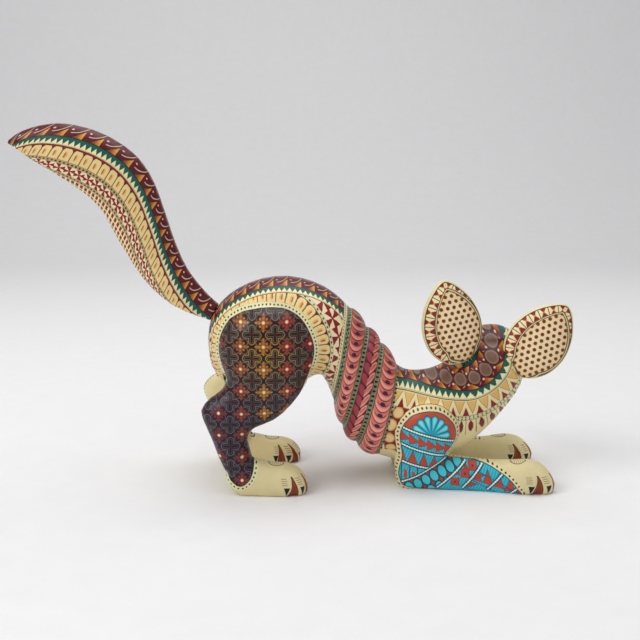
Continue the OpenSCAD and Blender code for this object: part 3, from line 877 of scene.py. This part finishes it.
def head_paint():
    """The band over the crown and down the nose, almond eyes with a painted highlight in each, black nose
    and dotted cheeks.
    """
    coat = neck_rows("head_acrylic")
    x, y, z = coat.marks("head", 0.15)
    coat.lay(STRAW, filled(3.0 - x))
    collar = filled(z - 17.5)
    coat.lay(CREAM, between(x, 1.0, 4.2) * collar)
    coat.lay(BOTTLE, spot(in_row(z.by("ARCTAN2", y) * 18.0, 2.4), x - 2.6, 0.55) * collar)
    coat.lay(MOSS, filled(abs(abs(x - 2.6) - 1.4) - 0.18) * collar)
    cheek = reach((x - 12.0) * 0.8, z + 5.0) - 8.5
    staggered_dots(coat, x, z, 1.0, filled(cheek) * filled(3.5 - x))
    coat.lay(MOSS, filled(abs(abs(cheek - 1.0) - 0.5) - 0.22) * filled(3.5 - x))
    around = ((z + 5.0).by("ARCTAN2", x - 12.0)) * 11.0
    coat.lay(CRIMSON, filled(abs(in_row(around, 4.4)) - (4.9 - cheek) * 0.45)
             * between(cheek, 2.2, 4.9) * filled(3.5 - x))
    middle = y - (1.0 - x / 25.0).by("MAXIMUM", 0.0) * 4.5
    away = (3.0 - z).by("MAXIMUM", 0.0) + (3.0 - x).by("MAXIMUM", 0.0) + (x - 40.0).by("MAXIMUM", 0.0)
    e = abs(middle) - 5.2 + x * 0.06 + away * 5.0
    saw_teeth(coat, x, e, -0.3, 0.9, 3.6, 3.1)
    coat.lay(MAROON, filled(e))
    oval = reach(in_row(x, 7.0) / 2.6, middle / 2.6) - 1.0
    coat.lay("#A0806E", filled(oval * 2.0) * filled(e + 0.6))
    coat.lay("#7C5E4C", filled(oval * 2.0 + 0.5) * filled(e + 0.6))
    u = x - EYE_AT[0]
    v = z - EYE_AT[1] + u * EYE_TILT
    almond = abs(v) - (EYE_HALF_H - u * u * 0.095)
    side = filled(6.0 - abs(y))
    coat.lay("#1A1216", filled(almond - 0.8) * side)
    coat.lay("#F3EAD0", filled(almond) * side)
    coat.lay("#8A4A1C", spot(u, v, 2.4) * filled(almond) * side)
    coat.lay("#120C10", spot(u, v, 1.3) * side)
    # A small white dot in each eye is a painted highlight: a glint of light painted onto the eye.
    coat.lay("#FFFFFF", spot(u + 0.8, v - 0.8, 0.45) * side)
    coat.lay(BRICK, filled(abs(z + 5.4 + (x - 34.0) * -0.05) - 0.3) * between(x, 23.0, 46.0))
    coat.lay("#3A241C", spot(in_row(x, 2.8), z + 2.4, 0.42) * between(x, 31.0, 43.0))
    coat.lay(CLAW_BLACK, filled(44.6 - x + abs(z + 1.5) * 0.5))
    return coat.done()


def bare_wood():
    """Sanded copal: straight fine grain, matt, with no finish on it."""
    coat = Coat("bare_copal", COPAL)
    stretch = add(coat.tree, "ShaderNodeVectorMath",
                  {0: coat.place, 1: (900.0, 900.0, 120.0)}, operation="MULTIPLY")
    grain = add(coat.tree, "ShaderNodeTexNoise",
                {"Vector": stretch.outputs[0], "Scale": 1.0, "Detail": 4.0})
    streaks = [(0.3, "#AC7D4C"), (0.55, COPAL), (0.75, "#DDB684")]
    coat.colour = coat.graded(Term(coat.tree, grain.outputs[0]), streaks)
    return coat.done(0.62)


# ---------------------------------------------------------------- assembly


def turned(p, at, *turns):
    """Points as seen by a part set at a place and turned in degrees, the last turn nearest the part."""
    way = np.eye(3)
    for axis, degrees in turns:
        angles = [0.0, 0.0, 0.0]
        angles["XYZ".index(axis)] = math.radians(degrees)
        way = way @ np.array(Euler(angles).to_matrix())
    return (p - np.array(at)) @ way


def tree_of(name):
    """A search tree over a CAD node, in row-frame metres."""
    mesh = nodes[name].data
    return BVHTree.FromPolygons([v.co for v in mesh.vertices], [f.vertices for f in mesh.polygons])


def nearest_node(points, names):
    """For each point in the carver's millimetres, which of the named nodes it lies on."""
    trees = [tree_of(name) for name in names]
    owner = np.zeros(len(points), int)
    for k, point in enumerate((points + ZERO) * MM):
        gaps = [tree.find_nearest(Vector(point), 0.02)[3] for tree in trees]
        owner[k] = min(range(len(gaps)), key=lambda i: 1.0 if gaps[i] is None else gaps[i])
    return owner


def paw_marks(p):
    """Angle about the toe fan, distance from its middle and height, for the nearest paw."""
    left_hind = (p[:, 0] < 60) & (p[:, 1] > 0)
    at = np.where(p[:, 0] > 60, FORE_TOES_AT, HIND_TOES_AT) - LEFT_HIND_BACK * left_hind
    side = np.abs(p[:, 1]) - STANCE
    ahead = p[:, 0] - at
    phi = np.degrees(np.arctan2(side, ahead)) + LEFT_HIND_TOES_IN * left_hind
    return np.column_stack([phi, np.hypot(side, ahead), p[:, 2]])


def walked(d, xz, loop, normals):
    """Distance outside a patch, grown to the distance walked on the skin where it faces the tail."""
    longer = d.copy()
    rear = (normals[:, 0] < -0.5) & (d > 0)
    here, n, step = xz[rear], normals[rear], 0.5
    ahead = (patch_distance(here + (step, 0), loop)[1] - d[rear]) / step
    up = (patch_distance(here + (0, step), loop)[1] - d[rear]) / step
    flat = np.sqrt(np.clip(1 - (ahead * n[:, 0] + up * n[:, 2]) ** 2, 0.06, 1))
    share = np.clip((-n[:, 0] - 0.5) / 0.3, 0, 1)
    longer[rear] = d[rear] * (1 + share * (1 / flat - 1))
    return longer


def carved_marks(p, normals):
    """Everything that the paints need to know about each vertex of the carving."""
    station, back, girth = stations(p, TRUNK)
    back_shift = np.clip(p[:, 1] * 0.2, 0, 1) * LEFT_HIND_BACK
    thigh_xz = np.column_stack([p[:, 0] + back_shift, p[:, 2]])
    thigh = smooth_through(THIGH_PATCH, True)
    shoulder = smooth_through(SHOULDER_DISC, True, 5)
    neck = smooth_through(NECK_BAND)
    across = np.abs(p[:, 1])
    ta, td = patch_distance(thigh_xz, thigh)
    td = walked(td, thigh_xz, thigh, normals)
    sa, sd = patch_distance(p[:, [0, 2]], shoulder)
    # The leg's dark paint stops at its outer side, and the foreleg's too
    td = np.maximum(td, np.interp(p[:, 2], [58, 76], [25.8, 12.0]) - across)
    sd = np.maximum(sd, np.interp(p[:, 2], [24, 34], [25.0, 15.0]) - across)
    na, noff = along_and_off(p[:, [0, 2]], neck)
    width = np.interp(na, [0, 55, 75, 100], [6.3, 6.3, 7.8, 7.4])
    throat = along_and_off(p[:, [0, 2]], smooth_through(THROAT_ROWS))[0]
    return {
        "body": np.column_stack([back, girth, station * ROW_STEP]),
        "thigh": np.column_stack([ta, td, across]),
        "shoulder": np.column_stack([sa, sd, across]),
        "neck": np.column_stack([na, np.abs(noff) - width, width]),
        "throat": np.column_stack([throat, np.abs(noff), width]),
        "place": np.column_stack([thigh_xz[:, 0], across, p[:, 2]]),
        "paw": paw_marks(p),
        "head": turned(p, HEAD_AT, *HEAD_TURNS),
    }


def face_relief(p):
    """How far the carver's knife leaves the eyes, brows, nose and mouth proud of the plain head."""
    own = turned(p, HEAD_AT, *HEAD_TURNS)
    u = own[:, 0] - EYE_AT[0]
    v = own[:, 2] - EYE_AT[1] + u * EYE_TILT
    on_head = (own[:, 0] > 5) & (np.abs(own[:, 1]) < 22) & (np.abs(own[:, 2]) < 22)
    almond = np.clip(1 - np.abs(v) / np.maximum(EYE_HALF_H - u * u * 0.095, 0.01), 0, 1)
    rise = 1.1 * np.sqrt(almond)
    rim = np.exp(-((np.abs(v) - np.maximum(EYE_HALF_H + 1.2 - u * u * 0.07, 0)) / 0.9) ** 2)
    rise -= 0.7 * rim * (np.abs(u) < 6.5) * (almond == 0)
    rise += 1.0 * np.exp(-(((v - 5.4) / 1.7) ** 2) - (u / 5.5) ** 2)
    rise += 0.7 * np.exp(-(((own[:, 0] - 48) / 2.2) ** 2)) * (own[:, 2] > -5.5)
    rise -= 0.7 * np.exp(-(((own[:, 2] + 5.4) / 0.9) ** 2)) * (own[:, 0] > 23) * (own[:, 0] < 46)
    rise[np.abs(own[:, 1]) < 1.5] *= 0.5
    return np.where(on_head, rise, 0.0)


def dressed(piece, body, slot, *stands_for):
    """Gives a piece its body and hides the nodes that it stands for. The slot is not used."""
    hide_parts(*stands_for)
    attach(piece, body)


def carving():
    """The glued block: trunk, head and limbs under one unbroken skin of paint."""
    co, quads = remeshed(CARVED + DOWELS, SKIN_VOXEL)
    edges = neighbours(quads)
    co = relax(co, edges, np.ones(len(co)), 6)
    middle = co[quads].mean(axis=1)
    owner = nearest_node(middle, CARVED)
    # Sands the creases where limbs and head meet the trunk
    low = np.full(len(co), 99)
    high = np.full(len(co), -1)
    np.minimum.at(low, quads.ravel(), np.repeat(owner, 4))
    np.maximum.at(high, quads.ravel(), np.repeat(owner, 4))
    crease = (low != high).astype(float)
    crease[co[:, 2] < 5] = 0
    for _ in range(5):
        spread = crease.copy()
        np.maximum.at(spread, edges[:, 0], crease[edges[:, 1]] - 0.2)
        np.maximum.at(spread, edges[:, 1], crease[edges[:, 0]] - 0.2)
        crease = spread
    co = relax(co, edges, crease, 16, False)
    station = stations(co, TRUNK)[0]
    in_rolls = (station > FIRST_ROLL) & (station < LAST_ROLL) & (crease == 0)
    swell = np.abs(np.sin(math.pi * (station - FIRST_ROLL))) ** 0.7 - 0.45
    co = co + vertex_normals(co, quads) * (in_rolls * swell * ROLL_SWELL)[:, None]
    co = co + vertex_normals(co, quads) * face_relief(co)[:, None]
    # Rounds the underside of each heel
    heel = np.clip((-44.5 - co[:, 0] - np.where(co[:, 1] > 0, LEFT_HIND_BACK, 0)) / 9, 0, 1.2)
    co[:, 2] += HEEL_RISE * heel**2 * np.clip(1 - co[:, 2] / 15, 0, 1)
    co[:, 2] = np.maximum(co[:, 2], 0.0)
    normals = vertex_normals(co, quads)
    marks = carved_marks(co, normals)
    middle = co[quads].mean(axis=1)
    thigh = marks["thigh"][quads].mean(axis=1)
    shoulder = marks["shoulder"][quads].mean(axis=1)
    station = marks["body"][quads].mean(axis=1)[:, 2] / ROW_STEP
    # The paint changes along the borders of the thigh and the shoulder, so the pieces part there
    border = 2.4
    outer = thigh[:, 2] > 15
    left = middle[:, 1] > 0
    rump = outer & (middle[:, 0] < 8) & (middle[:, 2] > 58)
    rump &= np.isin(owner, [TRUNK_PIECE, RIGHT_HIND, LEFT_HIND])
    hind = np.where(left[rump], LEFT_HIND, RIGHT_HIND)
    owner[rump] = np.where(thigh[rump, 1] < border, hind, TRUNK_PIECE)
    chest = outer & (middle[:, 0] > 40) & (middle[:, 0] < 90) & (middle[:, 2] > 22)
    chest &= np.isin(owner, [TRUNK_PIECE, RIGHT_FORE, LEFT_FORE])
    fore = np.where(left[chest], LEFT_FORE, RIGHT_FORE)
    owner[chest] = np.where(shoulder[chest, 1] < border, fore, TRUNK_PIECE)
    # The trunk's own paints: 0 on the rump, 1 on the waist and 2 on the neck
    paint = np.zeros(len(quads), int)
    of_trunk = owner == TRUNK_PIECE
    paint[of_trunk & (station >= FIRST_ROLL)] = 1
    paint[of_trunk & (station >= LAST_ROLL)] = 2
    of_the_trunk = [rump_paint(), waist_paint(), neck_rows("neck_acrylic").done()]
    crown, dark, blue = head_paint(), thigh_paint(), foreleg_paint()
    paints = [of_the_trunk, [crown], [dark], [dark], [blue], [blue]]
    slots = ["body_paint", "body_paint", "thigh_paint", "thigh_paint", "foreleg_paint", "foreleg_paint"]
    for number, name in enumerate(CARVED):
        piece = piece_from("painted_" + name, co, quads, owner == number, normals, marks,
                           paint, paints[number])
        dressed(piece, "carving", slots[number], name)


def whole_piece(name, co, quads, normals, marks, paint):
    """One piece made of a whole skin, in one paint."""
    every = np.ones(len(quads), bool)
    return piece_from(name, co, quads, every, normals, marks, np.zeros(len(quads), int), [paint])


def own_skin(name, voxel, rounds):
    """A finer skin of one CAD node by itself."""
    co, quads = remeshed([name], voxel)
    co = relax(co, neighbours(quads), np.ones(len(co)), rounds)
    return co, quads, vertex_normals(co, quads)


def tail():
    """The tail's own skin, under bands that run along it."""
    co, quads, normals = own_skin("tail", SKIN_VOXEL * 0.8, 5)
    station, back, girth = stations(co, TAIL)
    phase = np.interp(back, [0, 100, 200], [0, 11.9, 21.5])
    marks = {
        "body": np.column_stack([back, girth, station]),
        "cells": np.column_stack([phase, back, back]),
    }
    piece = whole_piece("painted_tail", co, quads, normals, marks, tail_paint())
    dressed(piece, "tail", "tail_paint", "tail")


def ears():
    """Both ears, each with its own skin and the same paint."""
    paint = ear_paint()
    rim = [(w * EAR_HALF_W, h * EAR_LENGTH) for h, w in EAR]
    outline = smooth_through(rim + [(-x, z) for x, z in reversed(rim)], True, 5)
    for name, (at, lean, turn) in EARS.items():
        co, quads, normals = own_skin(name, SKIN_VOXEL * 0.55, 5)
        own = turned(co, at, ("Y", lean), ("Z", turn))
        along, off = patch_distance(own[:, [0, 2]], outline)
        marks = {
            "ear": own,
            "outline": np.column_stack([along, off, off]),
        }
        piece = whole_piece("painted_" + name, co, quads, normals, marks, paint)
        dressed(piece, name, "ear_paint", name)


def pegs():
    """Round pegs and dowels: the CAD's own bars, with the grain of the wood."""
    wood = bare_wood()
    for name in PEGS:
        nodes[name].data.materials.clear()
        nodes[name].data.materials.append(wood)


def stage():
    """A pale shelf that curves up into a pale wall, soft light from the left, and the camera."""
    profile = [(-SHELF_REACH, 0.0), (SHELF_BACK, 0.0)]
    turns = [math.radians(a) for a in range(6, 91, 6)]
    profile += [(SHELF_BACK + BEND * math.sin(a), BEND - BEND * math.cos(a)) for a in turns]
    profile += [(SHELF_BACK + BEND, WALL_TOP)]
    mesh = bmesh.new()
    rows = [[mesh.verts.new((x, y, z)) for x in (-SHELF_REACH, SHELF_REACH)] for y, z in profile]
    for (a, b), (c, d) in zip(rows, rows[1:]):
        mesh.faces.new((a, b, d, c)).smooth = True
    data = bpy.data.meshes.new("shelf_and_wall")
    mesh.to_mesh(data)
    mesh.free()
    data.materials.append(shelf_white())
    sweep = placed("shelf_and_wall", data)
    for name, place, aim, size, power in LIGHTS:
        lamp = bpy.data.lights.new(name, "AREA")
        lamp.energy = power
        lamp.size = size
        light = placed(name, lamp)
        light.location = place
        light.rotation_euler = (Vector(aim) - Vector(place)).to_track_quat("-Z", "Y").to_euler()
    sky = bpy.data.worlds.new("room_light")
    sky.use_nodes = True
    sky.node_tree.nodes["Background"].inputs[0].default_value = (0.95, 0.97, 1.0, 1.0)
    sky.node_tree.nodes["Background"].inputs[1].default_value = ROOM_LIGHT
    bpy.context.scene.world = sky
    bpy.context.scene.view_settings.view_transform = "Standard"
    eye = bpy.data.cameras.new("camera")
    eye.lens = LENS
    eye.sensor_width = 36.0
    camera = placed("camera", eye)
    camera.location = CAMERA_AT
    camera.rotation_euler = (math.radians(CAMERA_TILT), 0.0, math.radians(CAMERA_TURN))
    bpy.context.scene.camera = camera


def shelf_white():
    """Matt white paint on a board: no shine and barely uneven."""
    coat = Coat("shelf_white", "#ECEBEB")
    return coat.done(0.6, 0.2)


SKIN_VOXEL = 0.001
# How much further the waist rolls stand out than in the plain carving, in millimetres
ROLL_SWELL = 1.3
PEGS = ["tail_peg", "ear_right_peg", "ear_left_peg"] + DOWELS
# Name, place, aim, size in metres and power in watts
LIGHTS = [
    ("soft_key", (-1.0, -0.5, 1.0), (0.0, 0.0, 0.08), 0.8, 9.0),
    ("soft_top", (0.1, 0.25, 1.3), (0.0, 0.0, 0.0), 1.1, 9.0),
    ("soft_fill", (1.0, -0.9, 0.7), (0.0, 0.0, 0.08), 1.2, 2.0),
]
ROOM_LIGHT = 0.42
# The shelf and wall behind it, in metres
SHELF_REACH, SHELF_BACK, BEND, WALL_TOP = 14.0, 1.0, 0.6, 3.0
# The camera's place in metres, its tilt and turn in degrees and its lens in millimetres
CAMERA_AT = (0.0072, -0.5835, 0.205)
CAMERA_TILT, CAMERA_TURN, LENS = 79.4, -0.8, 53.7

carving()
tail()
ears()
pegs()
stage()
bpy.context.view_layer.update()
